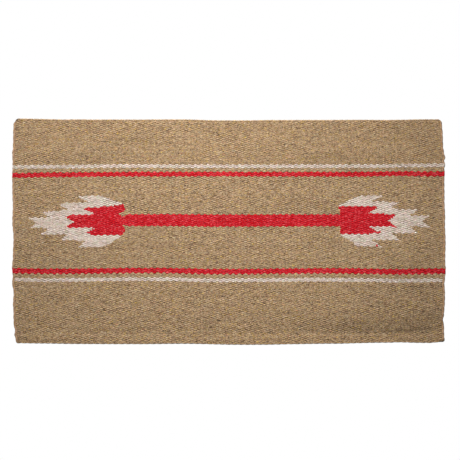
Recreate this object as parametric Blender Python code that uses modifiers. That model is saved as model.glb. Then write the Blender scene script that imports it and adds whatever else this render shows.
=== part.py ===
"""A hand-woven, weft-faced wool saddle blanket, lying flat.

X runs along the blanket and its wefts, Y across it and along its warp, and Z up. The origin is the
middle of the underside. The blanket folds double about two axes along Y in its upper face, one on each
side of a narrow fold strip, so each yarn's area is cut there into a left, a fold and a right piece.
"""
import math

import bmesh
import bpy
from mathutils import Matrix, Vector

# The whole blanket
LENGTH = 1.626
WIDTH = 0.845
THICKNESS = 0.008
CORNER_RADIUS = 0.014
EDGE_ROUNDING = 0.002
ROUNDING_STEPS = 2
CORNER_STEPS = 6

# Between pieces that touch, past a face that is cut, and between points that are one
GAP = 0.0003
OVERRUN = 0.005
WELD = 0.000001

# The cords along the blanket's edges
SELVEDGE_WIDTH = 0.010
END_CORD_WALL = 0.007

# The warp, one cord that runs to and fro across the blanket inside the wefts
WARP_COUNT = 136
FOLD_WARPS = 2
WARP_DIAMETER = 0.003
WARP_CLEARANCE = 0.0003
WINDOWS_PER_HALF = 6
TURN_STEPS = 3

# The rows of yarn on each side of the motif, from the motif outward
PATTERN_CENTRE_Y = 0.036
PANEL_WIDTH = 0.076
RED_STRIPE_WIDTH = 0.0185
SPACER_WIDTH = 0.0125
CREAM_STRIPE_WIDTH = 0.0175

# The cream arrows, whose stepped tips point to the blanket's ends
ARROW_MARGIN = 0.060
ARROW_LENGTH = 0.349
TIER_HEIGHT = 0.0258
MIDDLE_TIER_HEIGHT = 0.0192
OUTER_TIERS = 3
TIER_STEP = 0.068
MIDDLE_STEP = 0.046
TIP_RUN_PER_RISE = 1.12
SHOULDER_RUN = 0.078

# The red arrows inside them, and the bar that joins the two
RED_TIERS = 2
RED_TIER_HEIGHT = 0.0263
RED_TIER_STEP = 0.072
RED_MARGIN = 0.131
RED_RISE = 0.006
RED_RUN_PER_RISE = 1.28
BAR_WIDTH = 0.0475
CREAM_LIP = 0.0113

# Sizes that follow from those above
WARP_PITCH = (LENGTH - 2 * SELVEDGE_WIDTH) / WARP_COUNT
FOLD_HALF = FOLD_WARPS * WARP_PITCH / 2
SLOT_HALF = WARP_DIAMETER / 2 + WARP_CLEARANCE
END_CORD_WIDTH = WARP_PITCH / 2 + SLOT_HALF + END_CORD_WALL
WEFT_HALF_WIDTH = WIDTH / 2 - END_CORD_WIDTH
WEFT_HALF_LENGTH = LENGTH / 2 - SELVEDGE_WIDTH
MOTIF_HALF_HEIGHT = OUTER_TIERS * TIER_HEIGHT + MIDDLE_TIER_HEIGHT
ARROW_TIP_X = LENGTH / 2 - ARROW_MARGIN
ARROW_INNER_X = ARROW_TIP_X - ARROW_LENGTH
RED_TIP_X = ARROW_TIP_X - RED_MARGIN
RED_HALF_HEIGHT = RED_TIERS * RED_TIER_HEIGHT

# Each yarn's colour and roughness
YARNS = {
    "tan_heather": ((0.40, 0.27, 0.15), 0.95),
    "cream": ((0.63, 0.53, 0.45), 0.92),
    "red": ((0.58, 0.025, 0.032), 0.90),
    "edge_cord": ((0.36, 0.24, 0.13), 0.95),
    "warp_cord": ((0.62, 0.56, 0.44), 0.90),
}


def clear_scene():
    """Remove whatever the scene holds."""
    for thing in list(bpy.data.objects):
        bpy.data.objects.remove(thing, do_unlink=True)


def new_collection(name):
    """A collection of this name, linked to the scene."""
    collection = bpy.data.collections.new(name)
    bpy.context.scene.collection.children.link(collection)
    return collection


def yarn_material(yarn):
    """The yarn's material, made the first time that it is asked for."""
    material = bpy.data.materials.get(yarn)
    if material is None:
        colour, roughness = YARNS[yarn]
        material = bpy.data.materials.new(yarn)
        material.use_nodes = True
        shader = material.node_tree.nodes["Principled BSDF"]
        shader.inputs["Base Color"].default_value = (*colour, 1)
        shader.inputs["Roughness"].default_value = roughness
        shader.inputs["Metallic"].default_value = 0
        material.diffuse_color = (*colour, 1)
    return material


def body_empty(name, location, parent, collection):
    """An empty that carries one body's pieces, on the body's axis."""
    empty = bpy.data.objects.new(name, None)
    empty.location = location
    empty.empty_display_size = THICKNESS
    collection.objects.link(empty)
    if parent:
        empty.parent = parent
        empty.location = Vector(location) - Vector(parent.location)
    return empty


def carry(piece, body_origin, body, yarn, collection):
    """Hang a piece, placed in the blanket's frame, on its body's empty, in its yarn."""
    piece.parent = body
    piece.matrix_parent_inverse = Matrix.Translation(-Vector(body_origin))
    piece.data.materials.append(yarn_material(yarn))
    collection.objects.link(piece)
    return piece


def inset(outline, distance):
    """Move every edge of a counterclockwise outline inwards by the distance."""
    points = [Vector(point) for point in outline]
    moved = []
    for here, point in enumerate(points):
        before = (point - points[here - 1]).normalized()
        after = (points[(here + 1) % len(points)] - point).normalized()
        in_before = Vector((-before.y, before.x))
        in_after = Vector((-after.y, after.x))
        moved.append(point + (in_before + in_after) * distance / (1 + in_before.dot(in_after)))
    return moved


def mirrored(outline):
    """The outline's mirror image across the blanket's middle, still counterclockwise."""
    return [(-x, y) for x, y in reversed(outline)]


def rectangle(low_x, low_y, high_x, high_y):
    """A rectangle's outline."""
    return [(low_x, low_y), (high_x, low_y), (high_x, high_y), (low_x, high_y)]


def flat_solid(name, outline):
    """A closed solid of the blanket's thickness on an outline, less half the gap all round."""
    curve = bpy.data.curves.new(name, "CURVE")
    curve.dimensions = "2D"
    curve.fill_mode = "BOTH"
    curve.extrude = THICKNESS / 2
    points = inset(outline, GAP / 2)
    spline = curve.splines.new("POLY")
    spline.points.add(len(points) - 1)
    for place, point in zip(spline.points, points):
        place.co = (point.x, point.y, 0, 1)
    spline.use_cyclic_u = True
    drawn = bpy.data.objects.new(name + "_outline", curve)
    drawn.location.z = THICKNESS / 2
    bpy.context.scene.collection.objects.link(drawn)
    bpy.context.view_layer.update()
    depsgraph = bpy.context.evaluated_depsgraph_get()
    mesh = bpy.data.meshes.new_from_object(drawn.evaluated_get(depsgraph))
    mesh.name = name
    shape = bmesh.new()
    shape.from_mesh(mesh)
    bmesh.ops.remove_doubles(shape, verts=shape.verts, dist=WELD)
    bmesh.ops.recalc_face_normals(shape, faces=shape.faces)
    shape.to_mesh(mesh)
    shape.free()
    mesh.materials.clear()
    solid = bpy.data.objects.new(name, mesh)
    solid.matrix_world = drawn.matrix_world.copy()
    bpy.data.objects.remove(drawn)
    bpy.data.curves.remove(curve)
    return solid


def add_boxes(name, boxes, collection):
    """One cutter mesh made of separate boxes, each given by its low and high corners."""
    shape = bmesh.new()
    for low, high in boxes:
        centre = (Vector(low) + Vector(high)) / 2
        size = Vector(high) - Vector(low)
        placed = Matrix.Translation(centre) @ Matrix.Diagonal((*size, 1))
        bmesh.ops.create_cube(shape, size=1, matrix=placed)
    mesh = bpy.data.meshes.new(name)
    shape.to_mesh(mesh)
    shape.free()
    cutter = bpy.data.objects.new(name, mesh)
    cutter.hide_render = True
    cutter.display_type = "WIRE"
    collection.objects.link(cutter)
    return cutter


def cut(piece, cutter):
    """Cut the warp's space out of a piece."""
    modifier = piece.modifiers.new("warp_space", "BOOLEAN")
    modifier.operation = "DIFFERENCE"
    modifier.solver = "EXACT"
    modifier.object = cutter


def round_edges(piece):
    """Round a cord's square edges."""
    modifier = piece.modifiers.new("rounding", "BEVEL")
    modifier.width = EDGE_ROUNDING
    modifier.segments = ROUNDING_STEPS
    modifier.limit_method = "ANGLE"
    modifier.angle_limit = math.radians(60)


def run_x(run):
    """The place along the blanket of one run of the warp, counted from the left."""
    return -WEFT_HALF_LENGTH + (run + 1 / 2) * WARP_PITCH


def warp_points(first, last):
    """The warp's route over some of its runs, with a half-round turn from each run to the next."""
    points = []
    for run in range(first, last + 1):
        side = -1 if run % 2 == 0 else 1
        if run == first:
            points.append((run_x(run), -side * WEFT_HALF_WIDTH))
        if run == last:
            points.append((run_x(run), side * WEFT_HALF_WIDTH))
            continue
        middle = run_x(run) + WARP_PITCH / 2
        for step in range(TURN_STEPS + 1):
            angle = math.pi * step / TURN_STEPS
            across = math.cos(angle) * WARP_PITCH / 2
            along = math.sin(angle) * WARP_PITCH / 2
            points.append((middle - across, side * (WEFT_HALF_WIDTH + along)))
    return points


def warp_cord(name, first, last):
    """The warp over some of its runs, as one unbroken tube halfway through the blanket."""
    curve = bpy.data.curves.new(name, "CURVE")
    curve.dimensions = "3D"
    curve.twist_mode = "Z_UP"
    curve.bevel_depth = WARP_DIAMETER / 2
    curve.bevel_resolution = 1
    curve.use_fill_caps = True
    points = warp_points(first, last)
    spline = curve.splines.new("POLY")
    spline.points.add(len(points) - 1)
    for place, (x, y) in zip(spline.points, points):
        place.co = (x, y, 0, 1)
    cord = bpy.data.objects.new(name, curve)
    cord.location.z = THICKNESS / 2
    return cord


def warp_windows(name, first, last, windows, collection):
    """The spaces that groups of warp runs take through every weft area of a segment."""
    runs = last - first + 1
    bounds = [first + round(runs * window / windows) for window in range(windows + 1)]
    reach = WEFT_HALF_WIDTH + OVERRUN
    boxes = []
    for low_run, next_run in zip(bounds, bounds[1:]):
        low = (run_x(low_run) - SLOT_HALF, -reach, THICKNESS / 2 - SLOT_HALF)
        high = (run_x(next_run - 1) + SLOT_HALF, reach, THICKNESS / 2 + SLOT_HALF)
        boxes.append((low, high))
    return add_boxes(name, boxes, collection)


def turn_pockets(name, first, last, collection):
    """The pockets in the two end cords that the warp's turns lie in."""
    inner = WEFT_HALF_WIDTH - OVERRUN
    outer = WIDTH / 2 - END_CORD_WALL
    low_x = run_x(first) - SLOT_HALF
    high_x = run_x(last) + SLOT_HALF
    low_z = THICKNESS / 2 - SLOT_HALF
    high_z = THICKNESS / 2 + SLOT_HALF
    upper = ((low_x, inner, low_z), (high_x, outer, high_z))
    lower = ((low_x, -outer, low_z), (high_x, -inner, high_z))
    return add_boxes(name, (upper, lower), collection)


def end_cord_outline(low_x, high_x):
    """The upper end cord between two places, with the blanket's round corner at its outer end."""
    low_y = WEFT_HALF_WIDTH
    high_y = WIDTH / 2 + GAP / 2
    if high_x < LENGTH / 2:
        return rectangle(low_x, low_y, high_x, high_y)
    radius = min(CORNER_RADIUS, END_CORD_WIDTH - GAP)
    outline = [(low_x, low_y), (high_x, low_y)]
    for step in range(CORNER_STEPS + 1):
        angle = math.pi / 2 * step / CORNER_STEPS
        x = high_x - radius + radius * math.cos(angle)
        y = high_y - radius + radius * math.sin(angle)
        outline.append((x, y))
    outline.append((low_x, high_y))
    return outline


def stepped_side(tip_x, steps, heights, run_per_rise):
    """The upper half of an arrow's stepped side, from its outer tier down to its middle.

    Each tier ends in a tip, from which the side slants back down to the next tier. The steps say how far
    each tier's tip lies behind the next one's.
    """
    side = []
    x = tip_x - sum(steps)
    y = sum(heights)
    for height, step in zip(heights, (*steps, 0)):
        side.append((x, y))
        side.append((x - run_per_rise * height, y - height))
        x += step
        y -= height
    return side


def whole_side(upper_half, rise):
    """A stepped side from top to bottom, raised from the pattern's centre line."""
    lower_half = [(x, -y) for x, y in reversed(upper_half[:-1])]
    return [(x, PATTERN_CENTRE_Y + rise + y) for x, y in upper_half + lower_half]


def cream_side():
    """The cream arrow's stepped side, from top to bottom."""
    heights = [TIER_HEIGHT] * OUTER_TIERS + [MIDDLE_TIER_HEIGHT]
    steps = [TIER_STEP] * (OUTER_TIERS - 1) + [MIDDLE_STEP]
    return whole_side(stepped_side(ARROW_TIP_X, steps, heights, TIP_RUN_PER_RISE), 0)


def red_side():
    """The red arrow's stepped side, from top to bottom."""
    heights = [RED_TIER_HEIGHT] * RED_TIERS
    steps = [RED_TIER_STEP] * (RED_TIERS - 1)
    return whole_side(stepped_side(RED_TIP_X, steps, heights, RED_RUN_PER_RISE), RED_RISE)


def motif_outlines():
    """The motif's yarn areas on the blanket's right half, each with its name and yarn."""
    top = PATTERN_CENTRE_Y + MOTIF_HALF_HEIGHT
    bottom = PATTERN_CENTRE_Y - MOTIF_HALF_HEIGHT
    red_middle = PATTERN_CENTRE_Y + RED_RISE
    bar_top = red_middle + BAR_WIDTH / 2
    bar_bottom = red_middle - BAR_WIDTH / 2
    red_top = red_middle + RED_HALF_HEIGHT
    red_bottom = red_middle - RED_HALF_HEIGHT
    shoulder_x = ARROW_INNER_X + SHOULDER_RUN
    cream = cream_side()
    red = red_side()
    outer_field = [(WEFT_HALF_LENGTH, bottom), (WEFT_HALF_LENGTH, top)] + cream
    cream_arrow = [
        (ARROW_INNER_X, red_bottom),
        (ARROW_INNER_X, red_bottom - CREAM_LIP),
        (shoulder_x, bottom),
        *reversed(cream),
        (shoulder_x, top),
        (ARROW_INNER_X, red_top + CREAM_LIP),
        (ARROW_INNER_X, red_top),
        *red,
    ]
    red_arrow = [
        (FOLD_HALF, bar_bottom),
        (ARROW_INNER_X, bar_bottom),
        (ARROW_INNER_X, red_bottom),
        *reversed(red),
        (ARROW_INNER_X, red_top),
        (ARROW_INNER_X, bar_top),
        (FOLD_HALF, bar_top),
    ]
    inner_upper = [
        (FOLD_HALF, bar_top),
        (ARROW_INNER_X, bar_top),
        (ARROW_INNER_X, red_top + CREAM_LIP),
        (shoulder_x, top),
        (FOLD_HALF, top),
    ]
    inner_lower = [
        (FOLD_HALF, bottom),
        (shoulder_x, bottom),
        (ARROW_INNER_X, red_bottom - CREAM_LIP),
        (ARROW_INNER_X, bar_bottom),
        (FOLD_HALF, bar_bottom),
    ]
    return (
        ("outer_field", "tan_heather", outer_field),
        ("cream_arrow", "cream", cream_arrow),
        ("red_arrow", "red", red_arrow),
        ("inner_field_upper", "tan_heather", inner_upper),
        ("inner_field_lower", "tan_heather", inner_lower),
    )


def motif_fold_outlines():
    """The motif's yarn areas on the fold strip, each with its name and yarn."""
    top = PATTERN_CENTRE_Y + MOTIF_HALF_HEIGHT
    bottom = PATTERN_CENTRE_Y - MOTIF_HALF_HEIGHT
    bar_top = PATTERN_CENTRE_Y + RED_RISE + BAR_WIDTH / 2
    bar_bottom = PATTERN_CENTRE_Y + RED_RISE - BAR_WIDTH / 2
    return (
        ("inner_field_upper", "tan_heather", rectangle(-FOLD_HALF, bar_top, FOLD_HALF, top)),
        ("red_bar", "red", rectangle(-FOLD_HALF, bar_bottom, FOLD_HALF, bar_top)),
        ("inner_field_lower", "tan_heather", rectangle(-FOLD_HALF, bottom, FOLD_HALF, bar_bottom)),
    )


def yarn_rows():
    """The straight rows above and below the motif, each with its name, yarn, low y and high y."""
    widths = (
        ("panel", "tan_heather", PANEL_WIDTH),
        ("red_stripe", "red", RED_STRIPE_WIDTH),
        ("spacer", "tan_heather", SPACER_WIDTH),
        ("cream_stripe", "cream", CREAM_STRIPE_WIDTH),
    )
    rows = []
    for side, sign in (("upper", 1), ("lower", -1)):
        inner = PATTERN_CENTRE_Y + sign * MOTIF_HALF_HEIGHT
        for name, yarn, width in widths:
            outer = inner + sign * width
            rows.append((f"{name}_{side}", yarn, min(inner, outer), max(inner, outer)))
            inner = outer
        outer = sign * WEFT_HALF_WIDTH
        rows.append((f"field_{side}", "tan_heather", min(inner, outer), max(inner, outer)))
    return rows


def selvedge_cord(name, side):
    """The cord along one end of the blanket, between the two end cords."""
    length = 2 * WEFT_HALF_WIDTH - GAP
    width = SELVEDGE_WIDTH - GAP / 2
    size = Matrix.Diagonal((width, length, THICKNESS, 1))
    shape = bmesh.new()
    bmesh.ops.create_cube(shape, size=1, matrix=size)
    mesh = bpy.data.meshes.new(name)
    shape.to_mesh(mesh)
    shape.free()
    cord = bpy.data.objects.new(name, mesh)
    cord.location = (side * (LENGTH / 2 - width / 2), 0, THICKNESS / 2)
    round_edges(cord)
    return cord


def make_bodies(collection):
    """The two halves and the fold strip between them: each one's empty and where that stands."""
    left_at = (0, 0, 0)
    fold_at = (-FOLD_HALF, 0, THICKNESS)
    right_at = (FOLD_HALF, 0, THICKNESS)
    left = body_empty("left_half_origin", left_at, None, collection)
    fold = body_empty("fold_ridge_axis", fold_at, None, collection)
    right = body_empty("right_half_axis", right_at, fold, collection)
    return {"left": (left_at, left), "fold": (fold_at, fold), "right": (right_at, right)}


def make_segment(segment, first, last, windows, bodies, blanket, cutters):
    """One segment's weft rows, end cords and warp, from its first to its last warp run."""
    body_origin, body = bodies[segment]
    low_x = {"left": -WEFT_HALF_LENGTH, "fold": -FOLD_HALF, "right": FOLD_HALF}[segment]
    high_x = {"left": -FOLD_HALF, "fold": FOLD_HALF, "right": WEFT_HALF_LENGTH}[segment]
    window_cutter = warp_windows(f"warp_windows_{segment}", first, last, windows, cutters)
    pocket_cutter = turn_pockets(f"turn_pockets_{segment}", first, last, cutters)

    areas = [(name, yarn, rectangle(low_x, low, high_x, high)) for name, yarn, low, high in yarn_rows()]
    if segment == "fold":
        areas += motif_fold_outlines()
    elif segment == "right":
        areas += motif_outlines()
    else:
        areas += [(name, yarn, mirrored(outline)) for name, yarn, outline in motif_outlines()]
    for name, yarn, outline in areas:
        piece = flat_solid(f"{name}_{segment}", outline)
        carry(piece, body_origin, body, yarn, blanket)
        cut(piece, window_cutter)

    edge_x = LENGTH / 2 + GAP / 2
    if segment == "fold":
        upper = end_cord_outline(-FOLD_HALF, FOLD_HALF)
    else:
        upper = end_cord_outline(FOLD_HALF, edge_x)
    if segment == "left":
        upper = mirrored(upper)
    lower = [(x, -y) for x, y in reversed(upper)]
    for side, outline in (("upper", upper), ("lower", lower)):
        cord = flat_solid(f"end_cord_{side}_{segment}", outline)
        carry(cord, body_origin, body, "edge_cord", blanket)
        round_edges(cord)
        cut(cord, pocket_cutter)

    carry(warp_cord(f"warp_{segment}", first, last), body_origin, body, "warp_cord", blanket)


def make_selvedges(bodies, blanket):
    """The cords along the blanket's two ends."""
    for segment, side in (("left", -1), ("right", 1)):
        body_origin, body = bodies[segment]
        cord = selvedge_cord(f"selvedge_cord_{segment}", side)
        carry(cord, body_origin, body, "edge_cord", blanket)


def main():
    """Build the blanket."""
    clear_scene()
    blanket = new_collection("saddle_blanket")
    cutters = new_collection("cutters")
    bodies = make_bodies(blanket)
    half_runs = (WARP_COUNT - FOLD_WARPS) // 2
    segments = (
        ("left", 0, half_runs - 1, WINDOWS_PER_HALF),
        ("fold", half_runs, half_runs + FOLD_WARPS - 1, 1),
        ("right", half_runs + FOLD_WARPS, WARP_COUNT - 1, WINDOWS_PER_HALF),
    )
    for segment, first, last, windows in segments:
        make_segment(segment, first, last, windows, bodies, blanket, cutters)
    make_selvedges(bodies, blanket)
    bpy.context.view_layer.update()


main()
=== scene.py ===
import math

import bpy
import numpy as np
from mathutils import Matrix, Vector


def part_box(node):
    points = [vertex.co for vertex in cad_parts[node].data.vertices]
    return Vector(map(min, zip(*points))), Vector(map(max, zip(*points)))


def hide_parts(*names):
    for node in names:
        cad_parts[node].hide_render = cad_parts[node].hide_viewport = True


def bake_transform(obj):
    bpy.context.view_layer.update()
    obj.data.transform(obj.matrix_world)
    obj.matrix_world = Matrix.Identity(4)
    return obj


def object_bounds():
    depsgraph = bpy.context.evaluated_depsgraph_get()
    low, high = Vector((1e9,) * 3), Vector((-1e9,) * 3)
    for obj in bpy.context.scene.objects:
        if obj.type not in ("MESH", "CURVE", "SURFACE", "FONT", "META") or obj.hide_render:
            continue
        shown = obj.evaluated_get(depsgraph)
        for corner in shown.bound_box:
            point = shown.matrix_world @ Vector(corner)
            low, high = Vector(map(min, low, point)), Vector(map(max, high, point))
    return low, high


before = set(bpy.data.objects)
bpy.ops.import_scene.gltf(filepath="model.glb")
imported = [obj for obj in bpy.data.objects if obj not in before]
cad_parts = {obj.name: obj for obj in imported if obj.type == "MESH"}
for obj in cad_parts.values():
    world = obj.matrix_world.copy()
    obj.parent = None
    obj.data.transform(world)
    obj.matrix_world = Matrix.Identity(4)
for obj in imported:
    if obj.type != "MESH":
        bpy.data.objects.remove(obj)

cad_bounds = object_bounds()

# Sizes of the solids, in metres, and how many warps they hold
MM = 0.001
GAP = 0.3 * MM
HALF_LENGTH, HALF_WIDTH, THICKNESS = (float(value) for value in cad_bounds[1])
WARP_PITCH = float(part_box("field_upper_fold")[1][0]) + GAP / 2
WARP_COUNT = 136

# The photograph's scale, the pixel over the middle of the blanket and the picture's width
PIXEL = 3.764 * MM
MIDDLE_PX = 228.5
MIDDLE_PY = 231.7
FRAME_PX = 460

# The weave: the steps of its grid, the form of a float, and the picks of every band, bottom to top
STEPS_PER_WARP = 4
FOLD_STEPS_PER_WARP = 8
FINE_WARPS = 2
ROW_SHARES = (-1.0, -0.42, 0.42)
SWELL_SHARE = 0.85
BORDER_SWELL = 0.35
THINNEST_PICK = 0.06
RELIEF = 1.8 * MM
OVER_POWER = 0.8
CORE_TOP = THICKNESS - 1.7 * MM
CORE_BOTTOM = RELIEF + 0.1 * MM
HEM_PICKS = 2
HEM_WIDTH = 6.4 * MM
BAND_PICKS = {
    "field_lower": 55,
    "cream_stripe_lower": 4,
    "spacer_lower": 3,
    "red_stripe_lower": 4,
    "panel_lower": 19,
    "motif_lower": 21,
    "motif_bar": 11,
    "motif_upper": 17,
    "panel_upper": 19,
    "red_stripe_upper": 4,
    "spacer_upper": 3,
    "cream_stripe_upper": 4,
    "field_upper": 41,
}
BAR_LEVELS = (21.4 * MM, 66.0 * MM)
BANDS = ["hem_lower", *BAND_PICKS, "hem_upper"]
PICK_SPREAD = 0.20
FLOAT_SIZES = (0.56, 1.12)
AREA_SLOTS = {
    "field": "tan_heather",
    "spacer": "tan_heather",
    "panel": "tan_heather",
    "outer": "tan_heather",
    "inner": "tan_heather",
    "cream": "cream",
    "red": "red",
    "end": "tan_heather",
}
STRIPE_INSETS = {
    "field_lower": 1.0 * MM,
    "cream_stripe_lower": -3.2 * MM,
    "red_stripe_upper": -1.1 * MM,
    "panel_upper": 0.4 * MM,
    "spacer_upper": 2.1 * MM,
    "cream_stripe_upper": -2.4 * MM,
}

# Lines that the photograph's stripes and edges follow: (x, y) pixels, and (y, x) for the two ends
TOP_EDGE_PX = (
    (16, 118.3), (60, 119.2), (140, 119.4), (175, 119.1), (226, 120.2), (326, 119.6), (370, 119.6),
    (396, 119.7), (430, 119.1),
)
CREAM_UPPER_PX = (
    (16, 167.1), (56, 166.9), (106, 166.2), (256, 166.5), (376, 166.2), (416, 165.6), (436, 165.2),
)
RED_UPPER_PX = (
    (16, 175.5), (56, 174.9), (116, 174.2), (226, 174.0), (356, 174.3), (396, 173.7), (436, 174.0),
)
RED_LOWER_PX = (
    (16, 270.8), (46, 271.3), (156, 270.5), (226, 271.7), (336, 270.8), (396, 271.6), (436, 271.2),
)
CREAM_LOWER_PX = (
    (16, 279.5), (46, 280.0), (156, 279.0), (216, 280.3), (326, 279.6), (406, 280.5), (436, 280.2),
)
BOTTOM_EDGE_PX = (
    (16, 343.4), (90, 344.1), (130, 344.3), (186, 344.0), (246, 345.0), (326, 343.9), (386, 342.9),
    (400, 342.6), (430, 343.2), (437, 342.5), (442, 342.0),
)
LEFT_EDGE_PY = (
    (118.5, 16.6), (121.5, 15.3), (124.5, 13.2), (136, 12.8), (148, 12.6), (152, 11.9), (160, 12.2),
    (176, 11.8), (192, 11.9), (204, 12.5), (222, 11.9), (236, 13.0), (256, 12.4), (268, 11.5),
    (276, 12.3), (282, 11.6), (292, 13.1), (304, 12.5), (312, 13.0), (326, 13.3), (330, 14.6),
    (335, 13.9), (338, 14.8), (342.7, 15.6),
)
RIGHT_EDGE_PY = (
    (119, 440.3), (123.5, 442.3), (136, 443.2), (147, 443.4), (152, 444.3), (158, 445.6), (161.5, 444.6),
    (165, 445.6), (169, 444.7), (173, 445.2), (178, 444.7), (200, 444.9), (217, 445.5), (222, 445.2),
    (240, 445.9), (262, 445.5), (268.5, 446.1), (283, 444.7), (292, 445.3), (301, 445.1), (315, 444.3),
    (320, 443.3), (328, 444.4), (337.8, 444.5), (340.3, 444.9),
)

# The stepped arrows and the bar between them, as (x, y) pixels
CREAM_LEFT_PX = (
    (77.9, 196.5), (102.9, 196.3), (111.4, 199.4), (116.2, 202.3), (122.8, 203.0), (117.5, 208.0),
    (117.5, 230.0), (123.0, 235.2), (117.6, 238.6), (112.1, 242.1), (107.9, 244.9), (101.2, 247.4),
    (77.6, 248.0), (85.6, 241.0), (60.0, 240.2), (68.0, 234.2), (40.3, 234.5), (50.2, 228.5),
    (28.9, 228.0), (36.3, 223.2), (28.0, 217.6), (50.6, 217.6), (40.2, 212.2), (52.0, 211.4),
    (68.4, 210.0), (57.6, 203.8), (72.0, 202.9), (88.0, 202.1),
)
RED_LEFT_PX = (
    (81.6, 208.6), (86.8, 208.0), (101.0, 206.9), (113.6, 206.0), (123.4, 204.0), (124.5, 207.2),
    (125.0, 209.8), (122.9, 212.6), (118.5, 213.4), (120.6, 216.0), (122.3, 216.9), (124.6, 216.9),
    (126.2, 215.0), (126.2, 225.8), (122.7, 225.6), (124.4, 228.0), (125.2, 231.0), (123.4, 233.2),
    (124.2, 235.6), (121.5, 234.7), (113.0, 234.7), (91.0, 235.0), (85.0, 232.7), (95.6, 228.4),
    (88.0, 227.4), (80.0, 228.1), (65.0, 227.6), (74.3, 221.8), (65.0, 216.9), (70.0, 215.3),
    (84.0, 215.3), (94.0, 214.3), (92.5, 213.0),
)
CREAM_RIGHT_PX = (
    (338.4, 205.3), (345.2, 202.5), (355.8, 197.4), (358.6, 196.1), (384.4, 195.2), (371.6, 201.2),
    (398.9, 202.4), (390.4, 208.6), (418.4, 209.7), (412.4, 213.8), (409.0, 216.0), (430.1, 215.8),
    (421.9, 221.7), (430.5, 227.1), (409.8, 226.8), (417.8, 233.1), (391.8, 233.5), (399.0, 239.7),
    (372.2, 240.6), (382.9, 247.5), (372.0, 246.6), (355.4, 246.4), (353.5, 242.0), (340.0, 235.8),
    (345.0, 230.0), (345.0, 210.0),
)
RED_RIGHT_PX = (
    (338.3, 206.4), (350.0, 206.9), (378.8, 206.9), (367.2, 213.9), (380.0, 213.8), (396.8, 214.8),
    (387.7, 220.9), (396.6, 227.2), (367.8, 226.3), (376.4, 231.0), (382.0, 232.1), (380.5, 233.6),
    (370.0, 233.8), (341.2, 234.2), (338.9, 231.6), (340.4, 230.0), (340.5, 228.4), (339.9, 225.8),
    (340.2, 213.5), (339.9, 209.8), (338.3, 209.2),
)
BAR_ENDS_PX = (125.8, 342.0)
BAR_MIDDLE_PY = 220.5
STRAY_RED_PX = (376.9, 245.1)
STRAY_REACH_PX = (0.8, 1.0)
SHOULDER_LEFT_PX = 91.0
SHOULDER_RIGHT_PX = 371.0

# How the cloth lies: its hem, its lifted field and its slight waves
EDGE_REACH = 0.22
HEM_TROUGH_PX = (
    (16, 333.0), (75, 333.4), (225, 334.1), (330, 333.6), (380, 333.3), (396, 333.2), (412, 333.2),
    (424, 332.6), (434, 331.0), (441, 327.0),
)
HEM_LIFT = 3.6 * MM
HEM_END_DROP = 0.42
HEM_ROLL = 32 * MM
FIELD_LIFT = 0.5 * MM
FIELD_LIFT_RIGHT = 8.4 * MM
RIGHT_FOLD_PX = (275, 350)
FIELD_ROLL = 90 * MM
FIELD_END_PX = (370, 438)
FIELD_END_DROP = 0.45
FIELD_FADE_END = 470 * MM
WAVE_LIFT = 1.2 * MM
WAVE_END_DROP = 0.45
ROW_WOBBLE = 0.45 * MM
WOBBLE_ALONG_SIZE = (0.05, 0.07)
WOBBLE_ACROSS_SIZE = (0.06, 0.03)
WAVE_SIZE = (0.17, 0.13)

# How unevenly the cloth is woven and dyed
SEED = 11
NOISE_CELLS = (64, 256)
NOISE_START = (100.3, 30.7)
WARP_WANDER = 0.5 * MM
SWING_JITTER = 0.40
SWING_JITTER_SIZE = 10 * MM
PICK_DYE = 0.02
FLOAT_DYE = 0.02
FLOAT_TONE = 0.72
LEAST_TONE = 0.14
YARN_TONE = 0.14
YARN_TONE_SIZE = (4.0, 1.0)
PICK_TONE = 0.07
CLOUD_TONE = 0.05
CLOUD_TONE_SIZE = (22.0, 9.0)

# Where the wool is drawn lighter or darker: x, y, width and height in pixels, and the change. Patches along
# the lower hem's trough and crease, on the hem beyond it, toward the lower right corner and the right edge,
# and along the right part of the top edge are painted shade and painted light where the cloth creases,
# droops and meets its cord; the others stand for the wool's own uneven dye.
DYE_AND_SHADE_PATCHES_PX = (
    (130, 139, 28, 8, -0.10),
    (95, 158, 45, 7, -0.10),
    (328, 158, 24, 7, -0.13),
    (52, 149, 26, 7, 0.08),
    (20, 143, 5, 20, -0.03),
    (362, 129, 22, 6, 0.07),
    (362, 149, 22, 6, 0.08),
    (235, 294, 60, 12, 0.05),
    (415, 285, 35, 30, -0.06),
    (20, 262, 40, 22, -0.05),
    (372, 326, 48, 7, -0.09),
    (422, 322, 22, 12, -0.13),
    (395, 330.3, 30, 1.8, -0.12),
    (424, 329.6, 14, 2.2, -0.12),
    (441, 318.5, 1.5, 7, -0.30),
    (35, 329, 30, 4, 0.05),
    (375, 206, 45, 30, 0.04),
    (340, 121.6, 80, 1.8, 0.07),
    (444, 298, 3, 14, -0.08),
    (110, 332.4, 100, 1.1, -0.03),
    (80, 336.5, 80, 3.5, 0.05),
    (160, 329, 38, 4, 0.035),
    (80, 310, 70, 18, 0.03),
    (398, 221, 32, 26, 0.03),
    (228, 166.5, 200, 2.5, -0.025),
    (228, 280, 200, 2.5, 0.02),
    (50, 194, 36, 16, 0.02),
    (386, 331, 10, 1.2, -0.06),
)


def dye_and_shade_patches(px, py):
    """How much darker or lighter the wool is drawn at some pixels: its own uneven dye, and painted shade and
    light where the cloth creases and droops.
    """
    change = np.zeros(np.shape(px))
    for x, y, wide, high, much in DYE_AND_SHADE_PATCHES_PX:
        change += much * np.exp(-(((px - x) / wide) ** 2) - ((py - y) / high) ** 2)
    return change


def blanket_point(px, py):
    """A pixel of the photograph as the blanket's own x and y."""
    return (px - MIDDLE_PX) * PIXEL, (MIDDLE_PY - py) * PIXEL


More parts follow.
